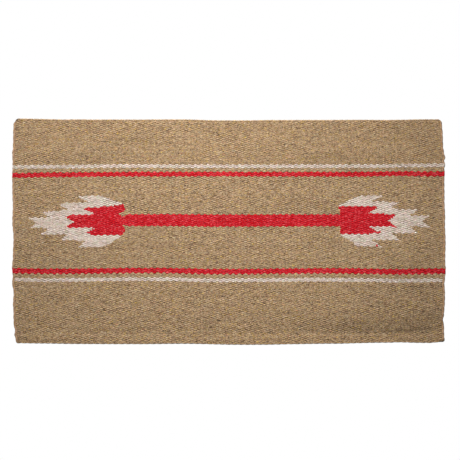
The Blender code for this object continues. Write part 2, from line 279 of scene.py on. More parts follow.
def pixel_of(x, y):
    """The blanket's own x and y as a pixel of the photograph."""
    return x / PIXEL + MIDDLE_PX, MIDDLE_PY - y / PIXEL


def ease(t):
    """A value kept from 0 to 1, with soft ends."""
    t = np.clip(t, 0, 1)
    return t * t * (3 - 2 * t)


def between(span, at):
    """How far along a span some positions are, from 0 to 1, with soft ends."""
    return ease((at - span[0]) / (span[1] - span[0]))


def follow(line, at):
    """A smooth line through (position, value) pairs, read at some positions."""
    places, values = np.array(line, float).T
    index = np.clip(np.searchsorted(places, at) - 1, 0, len(places) - 2)
    share = ease((at - places[index]) / (places[index + 1] - places[index]))
    return values[index] + (values[index + 1] - values[index]) * share


def soft_noise(x, y, size_x, size_y, seed):
    """Smooth noise from -1 to 1, whose bumps are about size_x by size_y."""
    lattice = np.random.default_rng(seed).uniform(-1, 1, NOISE_CELLS)
    u = np.asarray(x) / size_x + NOISE_START[0]
    v = np.asarray(y) / size_y + NOISE_START[1]
    i = np.floor(u).astype(int)
    j = np.floor(v).astype(int)
    fu = ease(u - i)
    fv = ease(v - j)

    def knot(di, dj):
        return lattice[(j + dj) % NOISE_CELLS[0], (i + di) % NOISE_CELLS[1]]

    low = knot(0, 0) * (1 - fu) + knot(1, 0) * fu
    high = knot(0, 1) * (1 - fu) + knot(1, 1) * fu
    return low * (1 - fv) + high * fv


def stripe_middle(name):
    """The height across the blanket of the middle of a stripe."""
    low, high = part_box(name)
    return (low[1] + high[1]) / 2


def line_levels():
    """The heights across the blanket at which the photograph's lines were read, bottom to top."""
    return (
        (-HALF_WIDTH, BOTTOM_EDGE_PX),
        (stripe_middle("cream_stripe_lower_left"), CREAM_LOWER_PX),
        (stripe_middle("red_stripe_lower_left"), RED_LOWER_PX),
        (stripe_middle("red_stripe_upper_left"), RED_UPPER_PX),
        (stripe_middle("cream_stripe_upper_left"), CREAM_UPPER_PX),
        (HALF_WIDTH, TOP_EDGE_PX),
    )


def hem_lift(x, y):
    """The shallow trough near the lower edge and the hem that curls up beyond it."""
    px = pixel_of(x, y)[0]
    away = y - (MIDDLE_PY - follow(HEM_TROUGH_PX, px)) * PIXEL
    hem = HEM_LIFT * (1 - HEM_END_DROP * np.abs(x) / HALF_LENGTH)
    hem = hem * (1 - (1 - np.clip(-away / HEM_ROLL, 0, 1)) ** 2)
    field = FIELD_LIFT + (FIELD_LIFT_RIGHT - FIELD_LIFT) * between(RIGHT_FOLD_PX, px)
    field = field * (1 - FIELD_END_DROP * between(FIELD_END_PX, px))
    field = field * np.sin(np.pi / 2 * np.clip(away / FIELD_ROLL, 0, 1))
    field = field * (1 - between((FIELD_ROLL, FIELD_FADE_END), away))
    return hem + field


def lay(points):
    """Moves points of the flat, straight weave to where the cloth lies in the photograph."""
    x, y, z = points[:, 0], points[:, 1], points[:, 2]
    px, py = pixel_of(x, y)
    levels = line_levels()
    shifts = [(MIDDLE_PY - follow(line, px)) * PIXEL - level for level, line in levels]
    shift_y = np.zeros_like(y)
    for (low, high), (near, far) in zip(zip(levels, levels[1:]), zip(shifts, shifts[1:])):
        within = (y >= low[0]) & (y <= high[0])
        share = (y - low[0]) / (high[0] - low[0])
        shift_y = np.where(within, near + (far - near) * share, shift_y)
    shift_y = np.where(y < levels[0][0], shifts[0], shift_y)
    shift_y = np.where(y > levels[-1][0], shifts[-1], shift_y)
    left = (follow(LEFT_EDGE_PY, py) - MIDDLE_PX) * PIXEL + HALF_LENGTH
    right = (follow(RIGHT_EDGE_PY, py) - MIDDLE_PX) * PIXEL - HALF_LENGTH
    near_left = ease(1 - (x + HALF_LENGTH) / EDGE_REACH)
    near_right = ease(1 - (HALF_LENGTH - x) / EDGE_REACH)
    shift_x = left * near_left + right * near_right
    shift_x = shift_x + ROW_WOBBLE * soft_noise(x, y, *WOBBLE_ALONG_SIZE, SEED)
    shift_y = shift_y + ROW_WOBBLE * soft_noise(x, y, *WOBBLE_ACROSS_SIZE, SEED + 1)
    wave = 0.5 + 0.5 * soft_noise(x, y, *WAVE_SIZE, SEED + 2)
    wave = wave * (1 - WAVE_END_DROP * np.abs(x) / HALF_LENGTH)
    x, y = x + shift_x, y + shift_y
    return np.column_stack([x, y, z + WAVE_LIFT * wave + hem_lift(x, y)])


def inside(outline, px, py):
    """Which pixels lie within an outline."""
    hit = np.zeros(np.shape(px), bool)
    for (x0, y0), (x1, y1) in zip(outline, outline[1:] + outline[:1]):
        if y0 == y1:
            continue
        crosses = (y0 > py) != (y1 > py)
        hit ^= crosses & (px < x0 + (py - y0) * (x1 - x0) / (y1 - y0))
    return hit


def pick_rows():
    """The straight boundary under every pick, and the band that every pick is in."""
    edges = [-(HALF_WIDTH - HEM_WIDTH)]
    names = []
    motif_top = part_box("panel_upper_left")[0][1] - GAP / 2
    tops = {"motif_lower": BAR_LEVELS[0], "motif_bar": BAR_LEVELS[1], "motif_upper": motif_top}
    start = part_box("field_lower_left")[0][1] - GAP / 2
    rng = np.random.default_rng(SEED + 9)
    for band in BANDS:
        if band == "hem_lower":
            top, picks = start, HEM_PICKS
        elif band == "hem_upper":
            top, picks = HALF_WIDTH - HEM_WIDTH, HEM_PICKS
        else:
            top = tops.get(band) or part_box(f"{band}_left")[1][1] + GAP / 2
            top += STRIPE_INSETS.get(band, 0)
            picks = BAND_PICKS[band]
        shares = rng.uniform(1 - PICK_SPREAD, 1 + PICK_SPREAD, picks)
        edges.extend(edges[-1] + (top - edges[-1]) * np.cumsum(shares) / shares.sum())
        names.extend([band] * picks)
    return np.array(edges), names


def column_places():
    """The x of every line of vertices that runs across the picks."""
    places = []
    middle = WARP_COUNT // 2
    for column in range(WARP_COUNT):
        fine = middle - FINE_WARPS <= column < middle + FINE_WARPS
        steps = FOLD_STEPS_PER_WARP if fine else STEPS_PER_WARP
        places.extend(column + np.arange(steps) / steps)
    places.append(WARP_COUNT)
    return (np.array(places) - middle) * WARP_PITCH


def over_column(pick, places):
    """The warp that the pick passes over nearest to each place."""
    parity = pick % 2
    column = parity + 2 * np.round((places / WARP_PITCH + WARP_COUNT / 2 - 0.5 - parity) / 2)
    last = WARP_COUNT - 1 - (WARP_COUNT - 1 - parity) % 2
    return np.clip(column, parity, last).astype(int)


class Weave:
    """The whole cloth as one grid of picks and warps, from which each colour area is cut."""

    def __init__(self):
        self.edges, self.bands = pick_rows()
        self.places = column_places()
        self.picks = len(self.bands)
        self.rng = np.random.default_rng(SEED)
        self.height = np.diff(self.edges)
        self.middles = (self.edges[1:] + self.edges[:-1]) / 2
        self.columns = (np.arange(WARP_COUNT) + 0.5 - WARP_COUNT / 2) * WARP_PITCH
        self.make_areas()
        self.make_grid()
        self.make_floats()

    def band_span(self, band):
        """The straight edges of a band, low and high."""
        first = self.bands.index(band)
        return self.edges[first], self.edges[first + self.bands.count(band)]

    def borders(self, wave):
        """The wavy lines between the picks, which swing further where two colours meet."""
        x = self.places
        colours = np.array([[AREA_SLOTS[area.split("_")[0]] for area in row] for row in self.area])
        lines = []
        for border, edge in enumerate(self.edges):
            if border in (0, self.picks):
                lines.append(np.full_like(x, edge))
                continue
            swing = 0.5 * SWELL_SHARE * min(self.height[border - 1], self.height[border])
            border_line = np.full_like(x, border)
            jitter = SWING_JITTER * swing * soft_noise(x, border_line, SWING_JITTER_SIZE, 1.0, SEED + 5)
            meets = np.append(colours[border - 1] != colours[border], False)
            meets[1:] |= meets[:-1]
            line = edge + (-1) ** (border - 1) * swing * wave * (1 + BORDER_SWELL * meets) + jitter
            lines.append(np.maximum(line, lines[-1] + THINNEST_PICK * self.height[border - 1]))
        return lines

    def make_grid(self):
        """The points of both faces of the cloth, and how near each is to the top of a float."""
        x = self.places
        wave = np.cos(np.pi * (x - self.columns[0]) / WARP_PITCH)
        sizes = self.rng.uniform(*FLOAT_SIZES, (self.picks, WARP_COUNT))
        lines = self.borders(wave)
        ys, tops, bottoms, crests = [], [], [], []
        for pick in range(self.picks):
            low, high = lines[pick], lines[pick + 1]
            over = (0.5 + 0.5 * (-1) ** pick * wave) ** OVER_POWER
            under = (0.5 - 0.5 * (-1) ** pick * wave) ** OVER_POWER
            size = sizes[pick, over_column(pick, x)]
            for share in ROW_SHARES:
                raised = 0.0 if share == -1.0 else 1.0
                ys.append((low + high) / 2 + share * (high - low) / 2)
                tops.append(CORE_TOP + raised * RELIEF * over * size)
                bottoms.append(CORE_BOTTOM - raised * RELIEF * under)
                crests.append(raised * over)
        ys.append(lines[-1])
        tops.append(np.full_like(x, CORE_TOP))
        bottoms.append(np.full_like(x, CORE_BOTTOM))
        crests.append(np.zeros_like(x))
        ys, tops, bottoms = np.array(ys), np.array(tops), np.array(bottoms)
        wander = WARP_WANDER * self.rng.uniform(-1, 1, WARP_COUNT)
        wander[0] = wander[-1] = 0
        xs = np.broadcast_to(x + np.interp(x, self.columns, wander) * (x != 0), ys.shape)
        self.flat = np.column_stack([xs.ravel(), ys.ravel()])
        self.top = lay(np.column_stack([xs.ravel(), ys.ravel(), tops.ravel()]))
        self.bottom = lay(np.column_stack([xs.ravel(), ys.ravel(), bottoms.ravel()]))
        self.crest = np.array(crests).ravel()
        self.line = len(x)

    def make_floats(self):
        """A random tone for each float, with yarn that changes slowly along its length."""
        quick = self.rng.uniform(0, 1, (self.picks, WARP_COUNT))
        warps, picks = np.meshgrid(np.arange(WARP_COUNT), np.arange(self.picks))
        along = YARN_TONE * soft_noise(warps, picks, *YARN_TONE_SIZE, SEED + 7)
        pick_tone = self.rng.normal(0, PICK_TONE, self.picks)[:, None]
        cloudy = CLOUD_TONE * soft_noise(warps, picks, *CLOUD_TONE_SIZE, SEED + 8)
        self.tone = np.clip(quick * FLOAT_TONE + LEAST_TONE + along + pick_tone + cloudy, 0, 1)
        # How dark each float is drawn: random dye for each pick and float, and the patches' dye, painted
        # shade and painted light
        pick_dye = self.rng.normal(0, PICK_DYE, self.picks)[:, None]
        float_dye = self.rng.normal(0, FLOAT_DYE, (self.picks, WARP_COUNT))
        self.dye_and_shade = 1 + pick_dye + float_dye + dye_and_shade_patches(*self.pixels(self.columns, np.arange(self.picks)))

    def pixels(self, places, picks):
        """The photograph's pixels at which some places along some picks lie."""
        x, y = np.meshgrid(places, self.middles[picks])
        laid = lay(np.column_stack([x.ravel(), y.ravel(), np.zeros(x.size)]))
        px, py = pixel_of(laid[:, 0], laid[:, 1])
        return px.reshape(x.shape), py.reshape(x.shape)

    def make_areas(self):
        """The colour area of every step of every pick: bands, and the arrows where the outlines fall."""
        mids = (self.places[1:] + self.places[:-1]) / 2
        self.area = np.empty((self.picks, len(mids)), object)
        for pick, band in enumerate(self.bands):
            side = band.rsplit("_", 1)[-1]
            self.area[pick, :] = f"end_cord_{side}" if band.startswith("hem") else band
        near = [pick for pick, band in enumerate(self.bands) if band.startswith(("motif", "panel"))]
        px, py = self.pixels(mids, near)
        ground = np.where(py < BAR_MIDDLE_PY, "inner_field_upper", "inner_field_lower").astype(object)
        ground[(px < SHOULDER_LEFT_PX) | (px > SHOULDER_RIGHT_PX)] = "outer_field"
        in_motif = np.array([self.bands[pick].startswith("motif") for pick in near])[:, None]
        in_bar = np.array([self.bands[pick] == "motif_bar" for pick in near])[:, None]
        names = np.where(in_motif, ground, self.area[near])
        names[inside(CREAM_LEFT_PX, px, py) | inside(CREAM_RIGHT_PX, px, py)] = "cream_arrow"
        bar = in_bar & (px > BAR_ENDS_PX[0]) & (px < BAR_ENDS_PX[1])
        names[inside(RED_LEFT_PX, px, py) | inside(RED_RIGHT_PX, px, py) | bar] = "red_arrow"
        beside, above = np.abs(px - STRAY_RED_PX[0]), np.abs(py - STRAY_RED_PX[1])
        names[(beside < STRAY_REACH_PX[0]) & (above < STRAY_REACH_PX[1])] = "red_arrow"
        self.area[near] = names

    def faces(self):
        """The pick, warp, area and half of every face of the grid."""
        rows = len(ROW_SHARES)
        mids = (self.places[1:] + self.places[:-1]) / 2
        warp = np.array([over_column(pick, mids) for pick in range(self.picks)])
        pick = np.repeat(np.arange(self.picks), rows)
        warp = warp[pick]
        pick = np.broadcast_to(pick[:, None], warp.shape)
        area = np.repeat(self.area, rows, axis=0)
        return pick, warp, area, np.broadcast_to(mids < 0, warp.shape)


# The pieces' edges and their flat layout
SHARP_ANGLE = 62
UV_MARGIN = 0.02
UV_RIM = 0.012
UV_HALF = 0.5


def add_object(name, data):
    """A new object in the scene."""
    obj = bpy.data.objects.new(name, data)
    bpy.context.scene.collection.objects.link(obj)
    return obj


def store(mesh, rest, crest, tone, dye_and_shade):
    """Gives a mesh the values that its material reads, at its points and on its faces."""
    for label, kind, domain, values in (
        ("rest", "FLOAT_VECTOR", "POINT", rest),
        ("crest", "FLOAT", "POINT", crest),
        ("tone", "FLOAT", "FACE", tone),
        ("dye_and_shade", "FLOAT", "FACE", dye_and_shade),
    ):
        attribute = mesh.attributes.new(label, kind, domain)
        field = "vector" if kind == "FLOAT_VECTOR" else "value"
        attribute.data.foreach_set(field, np.ascontiguousarray(values, np.float32).ravel())


def add_mesh(name, points, faces, rest, crest, tone, dye_and_shade, layout):
    """A mesh object of four-sided faces."""
    mesh = bpy.data.meshes.new(name)
    mesh.vertices.add(len(points))
    mesh.vertices.foreach_set("co", np.ascontiguousarray(points, np.float32).ravel())
    mesh.loops.add(faces.size)
    mesh.loops.foreach_set("vertex_index", np.ascontiguousarray(faces, np.int32).ravel())
    mesh.polygons.add(len(faces))
    mesh.polygons.foreach_set("loop_start", np.arange(0, faces.size, faces.shape[1], dtype=np.int32))
    mesh.update(calc_edges=True)
    store(mesh, rest, crest, tone, dye_and_shade)
    layer = mesh.uv_layers.new(name="OFBake")
    layer.uv.foreach_set("vector", np.ascontiguousarray(layout, np.float32).ravel())
    mesh.shade_smooth()
    mesh.set_sharp_from_angle(angle=math.radians(SHARP_ANGLE))
    return add_object(name, mesh)


def cut_area(weave, cells, name, mask):
    """One colour area of the cloth as a closed piece: both faces and the rim between them."""
    pick, warp = cells[0][mask], cells[1][mask]
    row, step = np.nonzero(mask)
    corner = row * weave.line + step
    quads = np.column_stack([corner, corner + 1, corner + weave.line + 1, corner + weave.line])
    used, local = np.unique(quads, return_inverse=True)
    local = local.reshape(quads.shape)
    count = len(used)
    sides = np.concatenate([local[:, [0, 1]], local[:, [1, 2]], local[:, [2, 3]], local[:, [3, 0]]])
    owner = np.tile(np.arange(len(local)), 4)
    key = np.sort(sides, axis=1)
    _, first, uses = np.unique(key, axis=0, return_index=True, return_counts=True)
    rim_at = first[uses == 1]
    rim = sides[rim_at]
    walls = np.column_stack([rim[:, 1], rim[:, 0], rim[:, 0] + count, rim[:, 1] + count])
    faces = np.concatenate([local, local[:, ::-1] + count, walls])
    points = np.concatenate([weave.top[used], weave.bottom[used]])
    flat = weave.flat[used]
    rest = np.column_stack([np.tile(flat, (2, 1)), np.repeat([0.0, 1.0], count)])
    # The crest, which the material turns into painted shade in the slits between floats; the lower face's is
    # turned over
    crest = np.concatenate([weave.crest[used], 1 - weave.crest[used]])
    owners = np.concatenate([np.arange(len(local)), np.arange(len(local)), owner[rim_at]])
    tone = weave.tone[pick, warp][owners]
    dye_and_shade = weave.dye_and_shade[pick, warp][owners]
    low, high = flat.min(axis=0), flat.max(axis=0)
    share = UV_MARGIN + (1 - 2 * UV_MARGIN) * (flat - low) / (high - low)
    upper = np.column_stack([share[:, 0], share[:, 1] * UV_HALF])
    lower = upper + [0, UV_HALF]
    plane = np.concatenate([upper, lower])
    uv = plane[faces]
    start = len(local) * 2
    outward = np.where(upper[rim[:, 0], 1] < UV_HALF / 2, -UV_RIM, UV_RIM)
    uv[start:, 2:, :] = uv[start:, [1, 0], :] + np.stack([np.zeros_like(outward), outward], -1)[:, None, :]
    return add_mesh(name, points, faces, rest, crest, tone, dye_and_shade, uv)


# The cords round the cloth and inside it
# A twist is the length of one turn, the sides of the tube and the length of one tone
CORD_STEP = 2.0 * MM
CORD_HALF_HEIGHT = 3.9 * MM
CORD_CREST_POWER = 0.7
CORD_UNEVEN = 0.06
CORD_UNEVEN_SIZE = 22 * MM
CORD_TONE_SPREAD = 0.17
CAP_LEAST = 0.02
# How dark the last stretch of some cord ends is drawn, and how long that stretch is at each
TAIL_DARKENING = 0.42
DARK_TAILS = {(1, -1): 16 * MM, (-1, 1): 30 * MM}
EDGE_CORD_RADIUS = 3.9 * MM
END_CORD_GROOVES = {1: 0.20, -1: 0.38}
END_CORD_TWIST = (4 * WARP_PITCH, 10, 9 * MM)
CORNER_RADIUS = 5 * MM
CORNER_POINTS = 7
CORNER_TAIL = 9 * MM
SELVEDGE_RADIUS = 5.2 * MM
SELVEDGE_INSET = 0.5 * MM
SELVEDGE_OVERLAP = 2 * MM
SELVEDGE_GROOVE = 0.26
SELVEDGE_TWIST = (0.048, 12, 14 * MM)
SELVEDGE_POINTS = 4
WRAPPED_STRIPES = ("red_stripe_lower", "red_stripe_upper", "cream_stripe_upper")
WARP_RADIUS = 1.4 * MM
WARP_GROOVE = 0.16
WARP_TWIST = (0.012, 6, 30 * MM)
WARP_STEP = 24 * MM
WARP_TURN = 4


def sweep(name, path, radii, twist, seed, groove, cut=(False, False), dark_tail=0.0):
    """A cord of two twisted strands along a flat path: a closed tube whose section turns as it goes."""
    turn_length, sides, tone_length = twist
    rng = np.random.default_rng(seed)
    count = len(path)
    across, up = frames_of(path)
    step = np.linalg.norm(np.diff(path, axis=0), axis=1)
    length = np.concatenate([[0], np.cumsum(step)])
    angle = 2 * np.pi * np.arange(sides) / sides
    section = angle[None, :] - 2 * np.pi * (1 / turn_length) * length[:, None]
    crest = np.abs(np.cos(section)) ** CORD_CREST_POWER
    uneven = 1 + CORD_UNEVEN * soft_noise(length, length * 0, CORD_UNEVEN_SIZE, 1.0, seed)
    bulge = (1 - groove + groove * crest) * uneven[:, None]
    from_start = length + (max(radii) if cut[0] else 0)
    to_end = length[-1] - length + (max(radii) if cut[1] else 0)
    tip = np.minimum(from_start, to_end) / max(radii)
    cap = np.sqrt(np.clip(1 - (1 - np.minimum(tip, 1)) ** 2, CAP_LEAST, 1))
    reach = bulge * cap[:, None]
    ring = (
        path[:, None, :]
        + across[:, None, :] * (radii[0] * np.cos(angle)[None, :] * reach)[:, :, None]
        + up[:, None, :] * (radii[1] * np.sin(angle)[None, :] * reach)[:, :, None]
    )
    points = lay(np.concatenate([ring.reshape(-1, 3), path[:1], path[-1:]]))
    start = np.arange(count - 1)[:, None] * sides
    at = start + np.arange(sides)
    after = start + (np.arange(sides) + 1) % sides
    tube = np.stack([at, at + sides, after + sides, after], -1).reshape(-1, 4)
    last = (count - 1) * sides
    caps = [(k, (k + 1) % sides, count * sides) for k in range(sides)]
    caps += [(last + (k + 1) % sides, last + k, count * sides + 1) for k in range(sides)]
    mesh = bpy.data.meshes.new(name)
    mesh.from_pydata(points.tolist(), [], tube.tolist() + caps)
    mesh.update(calc_edges=True)
    along = np.concatenate([np.repeat(length, sides), [0, length[-1]]])
    around = np.concatenate([np.tile(angle, count), [0, 0]])
    rest = np.column_stack([along, around * radii[0], along * 0])
    tones = np.clip(0.5 + rng.normal(0, CORD_TONE_SPREAD, int(length[-1] / tone_length) + 2), 0, 1)
    segment = (length[:-1] / tone_length).astype(int)
    # How dark each stretch of cord is drawn: darker near some ends, and the patches' dye, painted shade and
    # painted light
    dye_and_shade_levels = np.where(length[-1] - length[:-1] < dark_tail, TAIL_DARKENING, 1.0)
    laid = lay(path[:-1])
    dye_and_shade_levels += dye_and_shade_patches(*pixel_of(laid[:, 0], laid[:, 1]))

    def by_face(values, last_value):
        """One value for every face of the tube and of its two caps."""
        ends = [np.full(sides, values[0]), np.full(sides, last_value)]
        return np.concatenate([np.repeat(values, sides), *ends])

    # The crest, which the material turns into painted shade in the grooves between the strands
    crests = np.concatenate([crest.ravel(), [0.5, 0.5]])
    store(mesh, rest, crests, by_face(tones[segment], tones[-1]), by_face(dye_and_shade_levels, dye_and_shade_levels[-1]))
    mesh.shade_smooth()
    return add_object(name, mesh)


def frames_of(path):
    """For a flat path, the sideways and upward directions at each of its points."""
    tangent = np.gradient(path, axis=0)
    tangent /= np.linalg.norm(tangent, axis=1)[:, None]
    across = np.column_stack([-tangent[:, 1], tangent[:, 0], np.zeros(len(path))])
    up = np.tile([0.0, 0.0, 1.0], (len(path), 1))
    return across, up


def end_cord_path(side, end):
    """The centre line of half an end cord: from the middle of the blanket round its corner."""
    y = HALF_WIDTH - EDGE_CORD_RADIUS
    x = HALF_LENGTH - EDGE_CORD_RADIUS
    straight = np.arange(0, x - CORNER_RADIUS, CORD_STEP)
    turn = np.linspace(0, math.pi / 2, CORNER_POINTS)[1:]
    tail = np.arange(CORD_STEP, CORNER_TAIL, CORD_STEP)
    xs = [straight, x - CORNER_RADIUS + CORNER_RADIUS * np.sin(turn), np.full_like(tail, x)]
    corner = y - CORNER_RADIUS
    ys = [np.full_like(straight, y), corner + CORNER_RADIUS * np.cos(turn), corner - tail]
    xs, ys = np.concatenate(xs), np.concatenate(ys)
    return np.column_stack([end * xs, side * ys, np.full_like(xs, THICKNESS / 2)])


def make_end_cords(upper, left):
    """Half of the rope along one long edge."""
    side = 1 if upper else -1
    end = -1 if left else 1
    name = f"edge_rope_{'upper' if upper else 'lower'}_{'left' if left else 'right'}"
    radii = (EDGE_CORD_RADIUS, CORD_HALF_HEIGHT)
    seed = SEED + 20 + side + 3 * end
    dark_tail = DARK_TAILS.get((side, end), 0.0)
    path = end_cord_path(side, end)
    return sweep(name, path, radii, END_CORD_TWIST, seed, END_CORD_GROOVES[side], (True, False), dark_tail)


def make_selvedge(weave, left):
    """The rope along one end, and the short lengths of it that the stripes' yarn covers."""
    end = -1 if left else 1
    x = HALF_LENGTH - SELVEDGE_RADIUS - SELVEDGE_INSET
    reach = HALF_WIDTH - 2 * EDGE_CORD_RADIUS + SELVEDGE_OVERLAP
    radii = (SELVEDGE_RADIUS, CORD_HALF_HEIGHT)
    starts = [-reach]
    for area in WRAPPED_STRIPES:
        starts.extend(weave.band_span(area))
    pieces = {}
    for index, (low, high) in enumerate(zip(starts, starts[1:] + [reach])):
        area = WRAPPED_STRIPES[index // 2] if index % 2 else "selvedge"
        ys = np.linspace(low, high, max(int((high - low) / CORD_STEP), SELVEDGE_POINTS))
        path = np.column_stack([np.full_like(ys, end * x), ys, np.full_like(ys, THICKNESS / 2)])
        cut = (index > 0, high < reach)
        name = f"{area}_rope_{'left' if left else 'right'}"
        seed = SEED + 30 + end + 4 * index
        piece = sweep(name, path, radii, SELVEDGE_TWIST, seed, SELVEDGE_GROOVE, cut)
        pieces[area] = join(pieces[area], piece) if area in pieces else piece
    return pieces


def make_warp(weave, left):
    """Half of the warp: one cord to and fro across the blanket, round a turn at each end."""
    columns = weave.columns[weave.columns < 0] if left else weave.columns[weave.columns > 0]
    reach = HALF_WIDTH - 2 * EDGE_CORD_RADIUS - WARP_PITCH / 2
    aside = WARP_PITCH / 2
    points = []
    for index, x in enumerate(columns):
        direction = 1 if index % 2 == 0 else -1
        ys = np.linspace(-reach, reach, int(2 * reach / WARP_STEP)) * direction
        points.extend((x, y) for y in ys)
        if index + 1 < len(columns):
            for turn in range(1, WARP_TURN):
                bend = math.pi * turn / WARP_TURN
                y = direction * (reach + aside * math.sin(bend))
                points.append((x + aside - aside * math.cos(bend), y))
    flat = np.array(points)
    path = np.column_stack([flat, np.full(len(flat), THICKNESS / 2)])
    name = f"warp_cord_{'left' if left else 'right'}"
    return sweep(name, path, (WARP_RADIUS, WARP_RADIUS), WARP_TWIST, SEED + 40, WARP_GROOVE)


def join(first, second):
    """Puts the second object's mesh into the first one's."""
    for mesh in (first.data, second.data):
        for layer in list(mesh.uv_layers):
            mesh.uv_layers.remove(layer)
    both = [first, second]
    with bpy.context.temp_override(
        active_object=first, object=first, selected_objects=both, selected_editable_objects=both
    ):
        bpy.ops.object.join()
    return first


def node(tree, kind, **values):
    """A new node, with its settings and the values of its inputs."""
    made = tree.nodes.new(kind)
    for key, value in values.items():
        if hasattr(made, key):
            setattr(made, key, value)
        else:
            made.inputs[key.replace("_", " ")].default_value = value
    return made


def empty_tree(owner):
    """The node tree of a new material or world, without its nodes."""
    owner.use_nodes = True
    owner.node_tree.nodes.clear()
    return owner.node_tree


def combine(tree, operation, *terms):
    """Numbers and other nodes' values put together by one operation."""
    made = node(tree, "ShaderNodeMath", operation=operation)
    for place, term in zip(made.inputs, terms):
        if isinstance(term, bpy.types.NodeSocket):
            tree.links.new(term, place)
        else:
            place.default_value = term
    return made.outputs["Value"]


# How the wool looks close to: the scales of its lumps, then its light, gloss and relief
# A scale is in lumps a metre along the yarn and across it, and its third value parts the two faces
FIBRE_SCALE = (160, 700, 40)
FLECK_SCALE = (190, 480, 50)
CREAM_FLECK_SCALE = (130, 300, 50)
SPECK_SCALE = (115, 290, 50)
PLY_SCALE = (60, 90, 0)
CLOUD_SCALE = 6.0
STREAK_SPAN = (0.25, 0.75)
STREAK_LIGHT = (0.78, 1.22)
CLOUD_LIGHT = (0.92, 1.08)
ROUGHNESS = (0.82, 0.98)
SHEEN_ROUGHNESS = 0.5
SPECULAR = 0.15
PLY_RELIEF = 0.5
BUMP_STRENGTH = 0.6
BUMP_HEIGHT = 0.6 * MM
MIX_FIRST, MIX_SECOND, MIX_RESULT = 6, 7, 2
NO_SPECKS = ((0.0, (1.0, 1.0, 1.0)),)
TAN_SPECKS = (
    (0.0000, (1.0, 1.0, 1.0)),
    (0.9930, (1.15, 1.02, 0.28)),
    (0.9955, (0.42, 0.42, 0.46)),
    (0.9976, (1.30, 1.36, 1.46)),
    (0.9986, (1.02, 0.56, 0.55)),
)


def wool(name, stops, odd_stops, slit_shade, sheen, fleck, yarn, cells=FLECK_SCALE, specks=NO_SPECKS):
    """Hand-spun wool: a tone for each float, fibres and ply along the yarn, and painted shade that darkens
    the slits between floats.
    """
    material = bpy.data.materials.new(name)
    tree = empty_tree(material)
    link = tree.links.new
    rest, crest, tone, dye_and_shade = (
        node(tree, "ShaderNodeAttribute", attribute_name=label) for label in ("rest", "crest", "tone", "dye_and_shade")
    )

    def texture(kind, scale, **values):
        """A texture stretched along the yarn."""
        place = node(tree, "ShaderNodeMapping", Scale=scale)
        link(rest.outputs["Vector"], place.inputs["Vector"])
        made = node(tree, kind, Scale=1.0, **values)
        link(place.outputs["Vector"], made.inputs["Vector"])
        return made

    def lumps(scale):
        """Three random values for every lump of the yarn."""
        split = node(tree, "ShaderNodeSeparateColor")
        link(texture("ShaderNodeTexVoronoi", scale, Randomness=1.0).outputs["Color"], split.inputs["Color"])
        return split.outputs

    def ramp(source, colours, interpolation="CONSTANT"):
        """The colour that a value has among some stops."""
        made = node(tree, "ShaderNodeValToRGB")
        fill_ramp(made, colours)
        made.color_ramp.interpolation = interpolation
        link(source, made.inputs["Fac"])
        return made.outputs["Color"]

    def tinted(first, second):
        """One colour multiplied by another."""
        mix = node(tree, "ShaderNodeMix", data_type="RGBA", blend_type="MULTIPLY", Factor=1.0)
        link(first, mix.inputs[MIX_FIRST])
        link(second, mix.inputs[MIX_SECOND])
        return mix.outputs[MIX_RESULT]

    def ranged(source, low, high, **span):
        """A value laid out between two others."""
        made = node(tree, "ShaderNodeMapRange", To_Min=low, To_Max=high, **span)
        link(source, made.inputs["Value"])
        return made.outputs["Result"]

    fibre = texture("ShaderNodeTexNoise", FIBRE_SCALE, Detail=3.0, Roughness=0.6).outputs["Fac"]
    cloud = node(tree, "ShaderNodeTexNoise", Scale=CLOUD_SCALE, Detail=2.0)
    link(rest.outputs["Vector"], cloud.inputs["Vector"])
    flecks = lumps(cells)
    tones = combine(tree, "MULTIPLY_ADD", tone.outputs["Fac"], yarn, (1 - yarn - fleck) / 2)
    tones = combine(tree, "MULTIPLY_ADD", flecks["Red"], fleck, tones)
    wools = tinted(ramp(tones, stops, "LINEAR"), ramp(flecks["Green"], odd_stops))
    wools = tinted(wools, ramp(lumps(SPECK_SCALE)["Blue"], specks))

    # Painted shade darkens the slits between floats and the cords' grooves, where the crest falls to 0;
    # streaks, clouds and the dye patches with their painted shade and light multiply it
    light = ranged(crest.outputs["Fac"], slit_shade, 1.0)
    streak = ranged(fibre, *STREAK_LIGHT, From_Min=STREAK_SPAN[0], From_Max=STREAK_SPAN[1])
    for factor in (streak, ranged(cloud.outputs["Fac"], *CLOUD_LIGHT), dye_and_shade.outputs["Fac"]):
        light = combine(tree, "MULTIPLY", light, factor)
    colour = node(tree, "ShaderNodeVectorMath", operation="SCALE")
    link(wools, colour.inputs[0])
    link(light, colour.inputs["Scale"])

    ply = texture("ShaderNodeTexWave", PLY_SCALE, Distortion=1.5, Detail=1.0, bands_direction="DIAGONAL")
    bump = node(tree, "ShaderNodeBump", Strength=BUMP_STRENGTH, Distance=BUMP_HEIGHT)
    link(combine(tree, "MULTIPLY_ADD", ply.outputs["Fac"], PLY_RELIEF, fibre), bump.inputs["Height"])
    shader = node(
        tree, "ShaderNodeBsdfPrincipled",
        Sheen_Weight=sheen, Sheen_Roughness=SHEEN_ROUGHNESS, Specular_IOR_Level=SPECULAR,
    )
    link(colour.outputs["Vector"], shader.inputs["Base Color"])
    link(ranged(fibre, *ROUGHNESS), shader.inputs["Roughness"])
    link(bump.outputs["Normal"], shader.inputs["Normal"])
    link(shader.outputs["BSDF"], node(tree, "ShaderNodeOutputMaterial").inputs["Surface"])
    return material


def fill_ramp(ramp, stops):
    """Gives a ramp its places and colours."""
    elements = ramp.color_ramp.elements
    while len(elements) > 1:
        elements.remove(elements[-1])
    elements[0].position = stops[0][0]
    elements[0].color = (*stops[0][1], 1)
    for place, colour in stops[1:]:
        made = elements.new(place)
        made.color = (*colour, 1)


